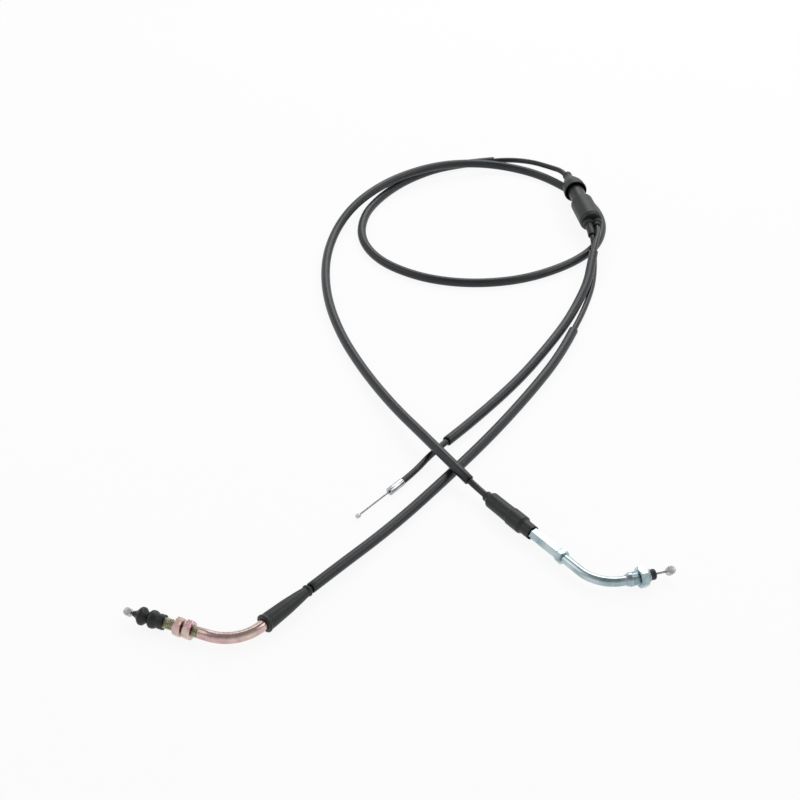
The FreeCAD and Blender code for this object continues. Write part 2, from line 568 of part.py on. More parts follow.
def junction():
    """Slider that ties the throttle wire to both branch wires inside the barrel."""
    def on_axis(shape):
        return placed(shape, SPLITTER_START, SPLITTER_HEADING)

    end = SLIDER_START + SLIDER_LENGTH
    nipple_depth = 3.5
    input_station = SLIDER_START + nipple_depth
    output_station = end - nipple_depth
    pocket = SLIDER_NIPPLE_RADIUS + FIT_GAP
    depth = SLIDER_NIPPLE_LENGTH / 2 + FIT_GAP
    slider = rod(BARREL_BORE - RUNNING_GAP, SLIDER_START, end)
    slider = slider.cut(rod(THROTTLE_WIRE_RADIUS + FIT_GAP, SLIDER_START - 1, input_station))
    sockets = [(input_station, 0.0, THROTTLE_WIRE_RADIUS)]
    sockets += [(output_station, side, BRANCH_WIRE_RADIUS) for side in (-OUTLET_SIDE, OUTLET_SIDE)]
    nipples = []
    for station, side, wire_radius in sockets:
        socket = Part.makeCylinder(pocket, BARREL_BORE + depth, V(-depth, side, station), V(1, 0, 0))
        slider = slider.cut(socket)
        nipple = upright_barrel(SLIDER_NIPPLE_RADIUS, SLIDER_NIPPLE_LENGTH, station, side, wire_radius)
        nipples.append(on_axis(nipple))
    tail = INPUT_CONDUIT_END + 2.5
    wire_end = OUTPUT_CONDUIT_START + PULL + 0.5
    wires = [on_axis(rod(THROTTLE_WIRE_RADIUS, tail, input_station + 1))]
    for side in (-OUTLET_SIDE, OUTLET_SIDE):
        slider = slider.cut(rod(BRANCH_WIRE_RADIUS + FIT_GAP, output_station, end + 1, side))
        wires.append(on_axis(rod(BRANCH_WIRE_RADIUS, output_station - 1, wire_end, side)))
    parts["junction_slider"] = on_axis(slider)
    parts["junction_nipples"] = Part.makeCompound(nipples)
    parts["junction_wires"] = Part.makeCompound(wires)


# ---------- wires that stay with the conduits ----------

def last_but_one(route):
    """The straight part of the run before the last."""
    return (len(route) - 3, None)


def wire_runs():
    """Wires inside the conduits, short of the ends that slide."""
    second = (1, None)
    parts["throttle_wire_run"] = swept(stretch(THROTTLE_ROUTE, end=last_but_one(THROTTLE_ROUTE)),
                                       THROTTLE_WIRE_RADIUS)
    parts["pump_wire_run"] = swept(stretch(PUMP_ROUTE, start=second), BRANCH_WIRE_RADIUS)
    parts["carb_wire_run"] = swept(stretch(CARB_ROUTE, second, last_but_one(CARB_ROUTE)), BRANCH_WIRE_RADIUS)


conduit("throttle", THROTTLE_ROUTE, THROTTLE_SLEEVE)
conduit("pump", PUMP_ROUTE, PUMP_SLEEVE)
conduit("carb", CARB_ROUTE, CARB_SLEEVE)
throttle_end()
pump_end()
carb_end()
splitter()
junction()
wire_runs()

os.makedirs("parts", exist_ok=True)
for name, shape in parts.items():
    if not shape.isValid():
        print("not valid:", name)
    shape.exportStep("parts/" + name + ".step")
print(len(parts), "nodes")
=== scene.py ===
"""Throttle cable set with a one-into-two splitter: its looks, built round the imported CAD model.

Three black conduits in PVC sleeves, two bent plated steel ends, rubber boots and bellows,
and the wires with their cast nipples. Metres; outlines and routes are given in millimetres.
"""
import json
import math
import bmesh
import bpy
from mathutils import Matrix, Vector


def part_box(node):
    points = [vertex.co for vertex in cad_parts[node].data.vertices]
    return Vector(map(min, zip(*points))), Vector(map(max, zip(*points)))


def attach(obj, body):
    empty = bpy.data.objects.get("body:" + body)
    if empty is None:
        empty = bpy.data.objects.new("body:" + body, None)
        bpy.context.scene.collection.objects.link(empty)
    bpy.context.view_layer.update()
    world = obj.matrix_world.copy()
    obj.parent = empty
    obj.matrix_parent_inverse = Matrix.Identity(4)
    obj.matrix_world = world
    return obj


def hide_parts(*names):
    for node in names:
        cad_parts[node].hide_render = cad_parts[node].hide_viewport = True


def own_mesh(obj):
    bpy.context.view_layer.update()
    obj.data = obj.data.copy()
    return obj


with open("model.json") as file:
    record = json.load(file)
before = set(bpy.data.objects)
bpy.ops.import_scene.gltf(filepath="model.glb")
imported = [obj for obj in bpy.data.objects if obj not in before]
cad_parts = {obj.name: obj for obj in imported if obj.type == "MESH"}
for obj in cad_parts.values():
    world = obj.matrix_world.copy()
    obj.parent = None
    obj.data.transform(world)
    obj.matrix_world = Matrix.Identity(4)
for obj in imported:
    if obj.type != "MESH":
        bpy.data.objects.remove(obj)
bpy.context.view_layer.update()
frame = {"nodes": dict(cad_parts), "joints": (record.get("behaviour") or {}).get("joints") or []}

MM = 0.001
UP = Vector((0, 0, 1))

# ---------- sizes, in millimetres ----------

CONDUIT_RADIUS = 2.5
SLEEVE_RADIUS = 4.0
SLEEVE_WALL = 1.0
BENT_TUBE_RADIUS = 3.5        # throttle elbow
THROTTLE_BEND = 28.0
PUMP_TUBE_RADIUS = 4.0
PUMP_BEND = 30.0
PUMP_INLET_HEADING = -130.8
THROTTLE_THREAD_PITCH = 1.0
PUMP_THREAD_PITCH = 1.25
THROTTLE_THREAD_RADIUS = 5.0  # M10 over its crests
PUMP_THREAD_RADIUS = 3.9
HEX_BAR_FLATS = 8.0           # across flats
LOCK_NUT_FLATS = 10.0
THROTTLE_NUT_FLATS = 14.0
PUMP_NUT_FLATS = 12.0
WIRE_LAY = 9.0                # length in which a strand goes once round its wire
THROTTLE_WIRE_RADIUS = 0.72
BRANCH_WIRE_RADIUS = 0.6
WIRE_SHOWS = 0.05             # how far a wire stands out of its nipple
THROTTLE_NIPPLE = (3.1, 6.0, -55)     # radius, length, and roll about the wire in degrees
PUMP_NIPPLE = (2.8, 6.0, 55)
OUTLET_SIDE = 3.6             # each splitter outlet's distance from the middle
OUTLET_NECK_RADIUS = 3.8
OUTLET_NECK_WALL = 1.0
OUTLET_NECK_START = 10        # distance from the outlet's start to where its neck begins
OUTLET_NECK_REACH = {"carb": 24, "pump": 34}

# Control points of the conduits' lines, the routes of the CAD tubes
THROTTLE_ROUTE = [
    (69.4, -173.4, 7.1), (54.8, -154.4, 7.1), (39.8, -137.7, 13), (15.6, -98.5, 13),
    (-10, -51.5, 8), (-34.9, 3.2, 4), (-55.5, 55.8, 4), (-69.3, 113.8, 4),
    (-72.9, 172, 4), (-66.6, 221.2, 4.6), (-52.7, 256.4, 9.8), (-32.7, 286.4, 13),
    (-5.7, 316.8, 13), (30.4, 339.6, 13), (64.9, 349.6, 11), (98.6, 352.9, 6.5),
    (134.9, 339.3, 4), (162.1, 309.3, 4), (183, 277.9, 4), (190, 244, 4),
    (184, 210.9, 4), (170.2, 186.2, 4), (145.3, 162.9, 4), (109.6, 142.7, 4),
    (72.2, 135, 4), (37.9, 137.6, 4), (6.7, 149.4, 4), (-24.3, 174.5, 4),
    (-41.2, 212.4, 4), (-39.2, 254.7, 4), (-25.2, 288.7, 4), (-2.7, 321.1, 4),
    (26.4, 346.5, 4), (52.1, 358.2, 4), (78.9, 364.8, 4), (106.1, 367.9, 5),
    (129.1, 356.8, 8.5), (145.6, 337.4, 13), (160, 319.9, 16.5), (163.7, 297.7, 16.5),
]
PUMP_ROUTE = [
    (170.6, 234.5, 16.5), (175.1, 207.9, 16.5), (175.1, 180.9, 7.5), (172.7, 155.5, 3),
    (168, 129.5, 2.7), (159.7, 100.8, 3.2), (150.4, 73.5, 4.2), (129, 20.8, 4),
    (103.4, -26.2, 4), (68.9, -82.6, 4), (30.6, -137.5, 4), (-9.3, -191.5, 4.2),
    (-51.1, -241.6, 7), (-77.3, -271.9, 7),
]
CARB_ROUTE = [
    (177.7, 235.7, 16.5), (182.2, 209.1, 16.5), (175.5, 182.6, 16.8), (169.8, 157.6, 12.6),
    (163.7, 129.8, 8.3), (153.2, 102.7, 5.4), (139.9, 71.8, 4), (120.6, 34.9, 4),
    (93, -12.6, 4), (54.1, -66.1, 4), (20.9, -106.1, 4), (6.5, -129.5, 3),
    (-7.6, -146.3, 3),
]
# Lengths of the conduits, and where each sleeve starts and ends: (run, share of that run)
THROTTLE_SLEEVE = ((1, 0.47), (34, 0.5))
PUMP_SLEEVE = ((6, 0.24), (12, 0.55))
CARB_SLEEVE = ((2, 0.47), (9, 0.64))


# ---------- axes of the ends, from the frame ----------

def joint_axis(name):
    found = next(joint for joint in frame["joints"] if joint["name"] == name)
    return Vector(found["axis"]).normalized()


def axis_through(node, heading):
    """A line through the middle of a node."""
    low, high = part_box(node)
    return (low + high) / 2, heading


def span(node, axis):
    """Stations in mm where a node starts and ends along an axis."""
    origin, heading = axis
    stations = [(v.co - origin).dot(heading) / MM for v in frame["nodes"][node].data.vertices]
    return min(stations), max(stations)


def start_at(node, axis):
    """The same axis with its station 0 where the node starts."""
    return axis[0] + axis[1] * span(node, axis)[0] * MM, axis[1]


def heading_of(degrees):
    angle = math.radians(degrees)
    return Vector((math.cos(angle), math.sin(angle), 0))


ADJUSTER = start_at("adjuster_boot", axis_through("adjuster_hex", joint_axis("adjuster_turn")))
OUTLET = axis_through("throttle_nut", joint_axis("throttle_pull"))
PUMP_INLET = start_at(
    "pump_boot", axis_through("pump_conduit_ferrule", heading_of(PUMP_INLET_HEADING)))
PUMP_OUTLET = axis_through("pump_nut_front", joint_axis("pump_nut_front_travel"))
CARB = start_at("carb_ferrule", axis_through("carb_nipple", -joint_axis("carb_pull")))
SPLITTER = start_at(
    "splitter_input_cap", axis_through("splitter_barrel", -joint_axis("junction_slide")))


# ---------- making pieces ----------

def finished(bm, name, axis, station, body, material, replaced, sharp_over=35):
    """Turns local Z to the axis, with local X up, and makes the shape a piece of the object."""
    origin, heading = axis
    turn = Matrix((UP, heading.cross(UP), heading)).transposed().to_4x4()
    place = Matrix.Translation(origin + heading * station * MM) @ turn @ Matrix.Scale(MM, 4)
    bmesh.ops.transform(bm, matrix=place, verts=bm.verts)
    return linked(bm, name, body, material, replaced, sharp_over)


def linked(bm, name, body, material, replaced, sharp_over=35):
    mesh = bpy.data.meshes.new(name)
    bm.to_mesh(mesh)
    bm.free()
    mesh.shade_smooth()
    mesh.set_sharp_from_angle(angle=math.radians(sharp_over))
    mesh.materials.append(material)
    piece = bpy.data.objects.new(name, mesh)
    bpy.context.scene.collection.objects.link(piece)
    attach(piece, body)
    if replaced:
        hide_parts(*replaced)
    return piece


def outline_of(bm, corners, longest=None):
    """Closed outline in the local XZ plane from (station, radius) corners, its edges cut short."""
    verts = [bm.verts.new((radius, 0, station)) for station, radius in corners]
    edges = [bm.edges.new(pair) for pair in zip(verts, verts[1:] + verts[:1])]
    if longest:
        for edge in edges:
            cuts = int(edge.calc_length() / longest)
            if cuts:
                bmesh.ops.subdivide_edges(bm, edges=[edge], cuts=cuts)
    return bm


def spun(bm, steps=96):
    geometry = bm.verts[:] + bm.edges[:]
    bmesh.ops.spin(bm, geom=geometry, cent=(0, 0, 0), axis=(0, 0, 1), angle=math.tau,
                   steps=steps, use_merge=True)
    bmesh.ops.remove_doubles(bm, verts=bm.verts, dist=0.001)
    bmesh.ops.recalc_face_normals(bm, faces=bm.faces)
    return bm


def rounded(bm, by, over=25):
    """Bevels the edges that turn by more than an angle."""
    edges = [edge for edge in bm.edges if edge.calc_face_angle(0) > math.radians(over)]
    bmesh.ops.bevel(bm, geom=edges, offset=by, offset_type="OFFSET", affect="EDGES", segments=3,
                    profile=0.5, material=-1, clamp_overlap=True)
    return bm


def moulded(corners, softness=6, longest=0.35):
    """Soft rubber shape: its outline is eased by averaging before it is spun."""
    bm = outline_of(bmesh.new(), corners, longest)
    for _ in range(softness):
        bmesh.ops.smooth_vert(bm, verts=bm.verts, factor=0.5, use_axis_x=True, use_axis_z=True)
    return spun(bm)


def lathed(corners, edge=0.2, steps=96):
    """Turned shape with its edges broken."""
    return rounded(spun(outline_of(bmesh.new(), corners), steps), edge)


def hexagonal(across_flats, bore, length, chamfer):
    """Turned blank with its corners chamfered, cut to six flats, one facing down."""
    flat = across_flats / 2
    corner = across_flats / math.sqrt(3)
    sink = 0.4
    half_side = math.radians(30)
    blank = [(0, bore + sink), (0, flat), (chamfer, corner), (length - chamfer, corner),
             (length, flat), (length, bore + sink), (length - sink, bore), (sink, bore)]
    bm = spun(outline_of(bmesh.new(), blank, 0.45))
    for vert in bm.verts:
        radius = math.hypot(vert.co.x, vert.co.y)
        turned = math.atan2(vert.co.y, vert.co.x) + half_side
        from_flat = turned % (2 * half_side) - half_side
        limit = flat / math.cos(from_flat)
        if radius > limit:
            vert.co.xy *= limit / radius
    return rounded(bm, 0.12, 32)


def capped(bm):
    """Closes the open ends of a tube."""
    bmesh.ops.holes_fill(bm, edges=[edge for edge in bm.edges if edge.is_boundary], sides=0)
    bmesh.ops.recalc_face_normals(bm, faces=bm.faces)
    return bm


def screw_thread(crest, pitch, start, end, depth_share=0.6, steps=48, lead=0.5):
    """Rolled thread: one pitch of its outline spun round and moved on a pitch each turn.

    Both ends are chamfered over the lead.
    """
    depth = pitch * depth_share
    bm = bmesh.new()
    outline = [(crest - depth, 0.0), (crest - depth, 0.12), (crest, 0.44), (crest, 0.56),
               (crest - depth, 0.88), (crest - depth, 1.0)]
    verts = [bm.verts.new((radius, 0, start + (share - 1) * pitch)) for radius, share in outline]
    edges = [bm.edges.new(pair) for pair in zip(verts, verts[1:])]
    turns = math.ceil((end - start) / pitch) + 1
    bmesh.ops.spin(bm, geom=verts + edges, cent=(0, 0, 0), axis=(0, 0, 1),
                   dvec=(0, 0, pitch / steps), angle=math.tau * turns, steps=steps * turns,
                   use_merge=False)
    bmesh.ops.remove_doubles(bm, verts=bm.verts, dist=0.002)
    for place, outward in ((start, -1), (end, 1)):
        bmesh.ops.bisect_plane(bm, geom=bm.verts[:] + bm.edges[:] + bm.faces[:],
                               plane_co=(0, 0, place), plane_no=(0, 0, outward),
                               clear_outer=True)
    for vert in bm.verts:
        past = max(0.0, vert.co.z - (end - lead), (start + lead) - vert.co.z)
        radius = math.hypot(vert.co.x, vert.co.y)
        limit = crest - past
        if radius > limit:
            vert.co.xy *= limit / radius
    return capped(bm)


def strand(radius, start, end, strands=12, groove=0.14, step_length=0.3):
    """Stranded wire: a ring of round strands, with grooves between them, spun along its axis."""
    bm = bmesh.new()
    bmesh.ops.create_circle(bm, cap_ends=False, radius=radius, segments=strands * 6)
    for vert in bm.verts:
        angle = math.atan2(vert.co.y, vert.co.x)
        vert.co.xy *= 1 - groove + groove * abs(math.cos(angle * strands / 2))
    bmesh.ops.translate(bm, vec=(0, 0, start), verts=bm.verts)
    steps = max(2, round((end - start) / step_length))
    bmesh.ops.spin(bm, geom=bm.verts[:] + bm.edges[:], cent=(0, 0, 0), axis=(0, 0, 1),
                   dvec=(0, 0, (end - start) / steps), angle=math.tau * (end - start) / WIRE_LAY,
                   steps=steps, use_merge=False)
    return capped(bm)


def cross_barrel(radius, length, roll):
    """Cast barrel nipple across its wire, rolled about it in degrees from lying level."""
    across = Matrix.Rotation(math.radians(roll), 4, "Z") @ Matrix.Rotation(math.radians(90), 4, "X")
    bm = bmesh.new()
    bmesh.ops.create_cone(bm, cap_ends=True, segments=64, radius1=radius, radius2=radius,
                          depth=length, matrix=across)
    return rounded(bm, 0.35)


def bent_tube(inlet, start, outlet, end, radius, bend_radius):
    """Round tube in the frame: straight on the inlet axis, bent, then along the outlet axis."""
    side = inlet[1].cross(outlet[1])
    apart = outlet[0] - inlet[0]
    corner = inlet[0] + inlet[1] * (apart.cross(outlet[1]).dot(side) / side.length_squared)
    turn = inlet[1].angle(outlet[1])
    tangent = bend_radius * MM * math.tan(turn / 2)
    centre = corner - inlet[1] * tangent + side.normalized().cross(inlet[1]) * bend_radius * MM
    first = inlet[0] + inlet[1] * start * MM
    last = outlet[0] + outlet[1] * end * MM
    bm = bmesh.new()
    upright = Matrix((UP, inlet[1].cross(UP), inlet[1])).transposed().to_4x4()
    bmesh.ops.create_circle(bm, cap_ends=False, radius=radius * MM, segments=64,
                            matrix=Matrix.Translation(first) @ upright)
    edge_ring = bm.edges[:]

    def only(kind, items):
        return [item for item in items if isinstance(item, kind)]

    def drawn(edges, by):
        made = bmesh.ops.extrude_edge_only(bm, edges=edges)["geom"]
        bmesh.ops.translate(bm, vec=by, verts=only(bmesh.types.BMVert, made))
        return only(bmesh.types.BMEdge, made)

    edge_ring = drawn(edge_ring, corner - inlet[1] * tangent - first)
    ring_verts = list({vert for edge in edge_ring for vert in edge.verts})
    made = bmesh.ops.spin(bm, geom=ring_verts + edge_ring, cent=centre, axis=side.normalized(),
                          angle=turn, steps=32, use_merge=False)["geom_last"]
    edge_ring = only(bmesh.types.BMEdge, made)
    drawn(edge_ring, last - (corner + outlet[1] * tangent))
    return capped(bm)


# ---------- materials ----------

def linear(code):
    """sRGB hex value as a linear colour."""
    channels = [int(code[k:k + 2], 16) / 255 for k in (1, 3, 5)]
    return [c / 12.92 if c <= 0.04045 else ((c + 0.055) / 1.055) ** 2.4 for c in channels] + [1.0]


def add(tree, kind, settings, inputs):
    """Adds a node with its settings; an input is a value, or the output that feeds it."""
    node = tree.nodes.new(kind)
    for name, value in settings.items():
        setattr(node, name, value)
    for name, value in inputs.items():
        if isinstance(value, bpy.types.NodeSocket):
            tree.links.new(value, node.inputs[name])
        else:
            node.inputs[name].default_value = value
    return node


def per_mm(size):
    """Texture scale at which a pattern repeats in a size in millimetres."""
    return 1.0 / (size * MM)


def surface(name, light, dark, patch, roughness, grain, relief, metallic=0.0, **shader):
    """Principled surface whose colour and gloss vary over patches, with a fine grain in relief.

    Colours are sRGB. Patch and grain are sizes in mm and relief a depth in mm. Roughness is
    (least, most), spread over the middle of the noise, as is the tint.
    """
    material = bpy.data.materials.new(name)
    material.use_nodes = True
    tree = material.node_tree
    tree.nodes.clear()
    place = add(tree, "ShaderNodeTexCoord", {}, {}).outputs["Object"]
    patches = add(tree, "ShaderNodeTexNoise", {}, {
        "Vector": place, "Scale": per_mm(patch), "Detail": 4.0})
    tint = add(tree, "ShaderNodeMapRange", {}, {
        "Value": patches.outputs["Fac"], "From Min": 0.35, "From Max": 0.65})
    colour = add(tree, "ShaderNodeMix", {"data_type": "RGBA"}, {
        "Factor": tint.outputs["Result"], 6: linear(dark), 7: linear(light)})
    fine = add(tree, "ShaderNodeTexNoise", {}, {
        "Vector": place, "Scale": per_mm(grain), "Detail": 6.0})
    gloss = add(tree, "ShaderNodeMapRange", {}, {
        "Value": fine.outputs["Fac"], "From Min": 0.3, "From Max": 0.7,
        "To Min": roughness[0], "To Max": roughness[1]})
    bump = add(tree, "ShaderNodeBump", {}, {
        "Height": fine.outputs["Fac"], "Distance": relief * MM})
    bsdf = add(tree, "ShaderNodeBsdfPrincipled", {}, {
        "Base Color": colour.outputs[2], "Roughness": gloss.outputs["Result"],
        "Normal": bump.outputs["Normal"], "Metallic": metallic, **shader})
    add(tree, "ShaderNodeOutputMaterial", {}, {"Surface": bsdf.outputs["BSDF"]})
    return material


# Plasticised and filled polymers reflect a little less than their clear resins
SOFT_SHEEN = {"IOR": 1.5, "Specular IOR Level": 0.45}
# Soft PVC tube, extruded: satin, dark grey with a cool cast where it catches the light
EXTRUDED_PVC = surface(
    "extruded_soft_pvc", "#1f2429", "#171b1f", 14, (0.32, 0.42), 0.5, 0.01, **SOFT_SHEEN)
# Harder PVC skin drawn over the conduit's steel winding: near black, glossier than the sleeves
CONDUIT_PVC = surface(
    "conduit_skin_pvc", "#181b1e", "#111315", 10, (0.28, 0.38), 0.6, 0.01, **SOFT_SHEEN)
# Moulded nitrile rubber: matt, with the fine eroded grain of its mould
NITRILE_RUBBER = surface(
    "moulded_nitrile_rubber", "#16191c", "#0f1113", 6, (0.38, 0.52), 0.35, 0.02, **SOFT_SHEEN)
# Injection-moulded nylon: black, with a low sheen
BLACK_NYLON = surface(
    "moulded_black_nylon", "#14171a", "#0d0f11", 8, (0.32, 0.44), 0.4, 0.01, **SOFT_SHEEN)
# Drawn low-density polyethylene: milky natural white
NATURAL_LINER = surface(
    "natural_polyethylene", "#eeebe2", "#e2ded3", 5, (0.3, 0.4), 0.5, 0.005, IOR=1.51)
# Bright zinc electroplate with a clear blue passivate: silver with a cold blue cast
CLEAR_ZINC = surface(
    "clear_passivated_zinc", "#bccacd", "#93a7ad", 9, (0.17, 0.26), 1.5, 0.002, 1.0)
# Zinc plate with a thin iridescent chromate film: silver with a mauve pink cast in patches
PINK_ZINC = surface(
    "iridescent_chromate_zinc", "#d3c3b6", "#c0979d", 7, (0.17, 0.26), 1.5, 0.002, 1.0)
# The same film where it pools on a thread: olive grey
THREAD_ZINC = surface(
    "chromate_zinc_thread", "#bab79f", "#95927c", 2, (0.24, 0.36), 0.8, 0.003, 1.0)
# Zinc alloy cast on the wire's end: dull light grey with a gate-cast skin
CAST_ZINC = surface(
    "cast_zinc_alloy", "#d0d0cc", "#b4b5b6", 1.5, (0.36, 0.52), 0.5, 0.008, 1.0)
# Nickel-plated steel ferrule: bright, with fine turning marks
BRIGHT_NICKEL = surface(
    "bright_nickel_plate", "#bfc1c3", "#a2a5a8", 4, (0.16, 0.26), 0.4, 0.005, 1.0)
# Galvanised strand wire: mid grey metal
STRAND_STEEL = surface(
    "galvanised_strand_steel", "#a7a8a9", "#7c7d80", 0.8, (0.3, 0.46), 0.3, 0.005, 1.0)

FINISHES = {
    "sleeve_pvc": EXTRUDED_PVC,
    "conduit_pvc": CONDUIT_PVC,
    "liner_plastic": NATURAL_LINER,
    "wire_steel": STRAND_STEEL,
    "clear_zinc": CLEAR_ZINC,
    "pink_zinc": PINK_ZINC,
    "cast_zinc": CAST_ZINC,
    "bright_steel": BRIGHT_NICKEL,
    "rubber": NITRILE_RUBBER,
    "black_plastic": BLACK_NYLON,
}


# ---------- conduits and sleeves ----------

def bare_line(spline_kind, points, name):
    """Curve of one open spline, without thickness."""
    curve = bpy.data.curves.new(name, "CURVE")
    curve.dimensions = "3D"
    curve.resolution_u = 16
    spline = curve.splines.new(spline_kind)
    spline.points.add(len(points) - 1)
    for spline_point, point in zip(spline.points, points):
        spline_point.co = (*point, 1.0)
    if spline_kind == "NURBS":
        spline.order_u = 3
        spline.use_endpoint_u = True
    return curve


def tube_on(line, radius, wall):
    """Open tube with rounded rims over a part of a conduit's line."""
    path = bare_line("POLY", line, "tube_path")
    path.bevel_depth = radius * MM
    path.bevel_resolution = 10
    guide = bpy.data.objects.new("tube_path", path)
    bm = bmesh.new()
    bm.from_mesh(bpy.data.meshes.new_from_object(guide))
    bpy.data.objects.remove(guide)
    bmesh.ops.recalc_face_normals(bm, faces=bm.faces)
    bmesh.ops.solidify(bm, geom=bm.faces[:], thickness=wall * MM)
    rim = [edge for edge in bm.edges if edge.calc_face_angle(0) > math.radians(60)]
    bmesh.ops.bevel(bm, geom=rim, offset=0.2 * MM, offset_type="OFFSET", affect="EDGES", segments=2,
                    profile=0.5, material=-1)
    return bm


def cable(name, route, sleeve_places):
    """Conduit as a bevelled curve on its route, with the sleeve that is pushed over it. Gives its
    line.
    """
    points = [Vector(point) * MM for point in route]
    curve = bare_line("NURBS", points, name + "_conduit")
    conduit = bpy.data.objects.new(name + "_conduit", curve)
    bpy.context.scene.collection.objects.link(conduit)
    line = [vert.co.copy() for vert in bpy.data.meshes.new_from_object(conduit).vertices]
    curve.bevel_depth = CONDUIT_RADIUS * MM
    curve.bevel_resolution = 7
    curve.use_fill_caps = True
    curve.materials.append(CONDUIT_PVC)
    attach(conduit, "cable_set")
    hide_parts(name + "_casing", name + "_liner", name + "_wire_run")

    ends = []
    for run, share in sleeve_places:
        place = points[run].lerp(points[run + 1], share)
        ends.append(min(range(len(line)), key=lambda k: (line[k] - place).length))
    tube = tube_on(line[ends[0]:ends[1] + 1], SLEEVE_RADIUS, SLEEVE_WALL)
    sleeve = linked(tube, name + "_outer_sleeve", "cable_set", EXTRUDED_PVC,
                    [name + "_sleeve"])
    return line


cable("throttle", THROTTLE_ROUTE, THROTTLE_SLEEVE)
pump_line = cable("pump", PUMP_ROUTE, PUMP_SLEEVE)
carb_line = cable("carb", CARB_ROUTE, CARB_SLEEVE)


# ---------- throttle end ----------

adjuster_boot = [
    (0, 3.6), (0.5, 4.0), (2, 4.0), (2.6, 3.7), (3.8, 4.4), (6.3, 6.1), (20, 6.2), (28.2, 6.3),
    (28.4, 6.9), (41.6, 6.9), (41.9, 6.1), (43, 5.5), (52.3, 5.4), (52.3, 5.1), (50, 4.95),
    (18.7, 4.95), (18.7, 3.35), (9.7, 3.35), (9.7, 2.7), (0, 2.7),
]
finished(moulded(adjuster_boot, 3), "rubber_adjuster_boot", ADJUSTER, 0, "cable_set",
         NITRILE_RUBBER, ["adjuster_boot"])

hex_start, hex_end = span("adjuster_hex", ADJUSTER)
finished(hexagonal(HEX_BAR_FLATS, 3.1, hex_end - hex_start, 0.7), "adjuster_hex_bar", ADJUSTER,
         hex_start, "adjuster", CLEAR_ZINC, ["adjuster_hex"])
nut_start, nut_end = span("adjuster_lock_nut", ADJUSTER)
finished(hexagonal(LOCK_NUT_FLATS, 3.1, nut_end - nut_start, 0.8), "thin_lock_nut", ADJUSTER,
         nut_start, "adjuster", CLEAR_ZINC, ["adjuster_lock_nut"])

collar_start, collar_end = span("throttle_collar", OUTLET)
tube = bent_tube(ADJUSTER, nut_end - 1.0, OUTLET, collar_start + 5.0, BENT_TUBE_RADIUS,
                 THROTTLE_BEND)
linked(tube, "throttle_bent_tube", "elbow_end", CLEAR_ZINC, ["throttle_elbow"])
flare = [(0, 3.4), (0, 3.9), (0.5, 4.1), (3.1, 5.2), (4.6, 5.2), (4.6, 3.4)]
finished(lathed(flare), "collar_flare", OUTLET, collar_start, "elbow_end",
         CLEAR_ZINC, ["throttle_collar"])
thread = screw_thread(THROTTLE_THREAD_RADIUS, THROTTLE_THREAD_PITCH, 4.3,
                      collar_end - collar_start)
finished(thread, "collar_thread", OUTLET, collar_start, "elbow_end", CLEAR_ZINC, [])
nut_start, nut_end = span("throttle_nut", OUTLET)
finished(hexagonal(THROTTLE_NUT_FLATS, 5.1, nut_end - nut_start, 1.0), "throttle_fixing_nut_m10",
         OUTLET, nut_start, "throttle_fixing_nut", CLEAR_ZINC, ["throttle_nut"])

bush_start = span("throttle_end_bush", OUTLET)[0]
bush = [(0, 1.05), (0, 4.0), (1.4, 4.0), (1.8, 3.6), (2.2, 4.0), (3.9, 3.9), (4.5, 3.3),
        (4.5, 1.05)]
finished(moulded(bush, 3), "rubber_end_bush", OUTLET, bush_start, "elbow_end",
         NITRILE_RUBBER, ["throttle_end_bush"])
nipple_low, nipple_high = span("throttle_nipple", OUTLET)
nipple_at = (nipple_low + nipple_high) / 2
finished(cross_barrel(*THROTTLE_NIPPLE), "throttle_cast_nipple", OUTLET, nipple_at,
         "throttle_pull_end", CAST_ZINC, ["throttle_nipple"])
wire = strand(THROTTLE_WIRE_RADIUS, span("throttle_wire_end", OUTLET)[0],
              nipple_high + WIRE_SHOWS)
finished(wire, "throttle_strand", OUTLET, 0, "throttle_pull_end", STRAND_STEEL,
         ["throttle_wire_end"])


# ---------- pump end ----------

pump_boot = [
    (0, 4.0), (0.5, 4.4), (2, 4.4), (2.6, 3.7), (11, 4.6), (22, 5.5), (38, 6.2), (41.1, 6.2),
    (41.6, 6.8), (43.4, 6.8), (43.4, 4.05), (9.7, 4.05), (9.7, 3.3), (6.8, 3.3), (6.8, 2.7),
    (0, 2.7),
]
finished(moulded(pump_boot), "rubber_pump_boot", PUMP_INLET, 0, "cable_set",
         NITRILE_RUBBER, ["pump_boot"])

rear_start, rear_end = span("pump_nut_rear", PUMP_OUTLET)
front_start, front_end = span("pump_nut_front", PUMP_OUTLET)
bellows_start = span("pump_bellows", PUMP_OUTLET)[0]
thread_start = rear_start - 4.5
tube = bent_tube(PUMP_INLET, 10.0, PUMP_OUTLET, thread_start, PUMP_TUBE_RADIUS, PUMP_BEND)
linked(rounded(tube, 0.3 * MM, 60), "pump_bent_tube", "cable_set", PINK_ZINC,
       ["pump_elbow"])
thread = screw_thread(PUMP_THREAD_RADIUS, PUMP_THREAD_PITCH, thread_start - 0.5,
                      bellows_start + 4.9)
finished(thread, "pump_thread", PUMP_OUTLET, 0, "cable_set", THREAD_ZINC, [])
for name, start, end in (("rear", rear_start, rear_end), ("front", front_start, front_end)):
    finished(hexagonal(PUMP_NUT_FLATS, 4.0, end - start, 0.9), "pump_hex_nut_" + name,
             PUMP_OUTLET, start, "pump_nut_" + name + "_body", PINK_ZINC,
             ["pump_nut_" + name])

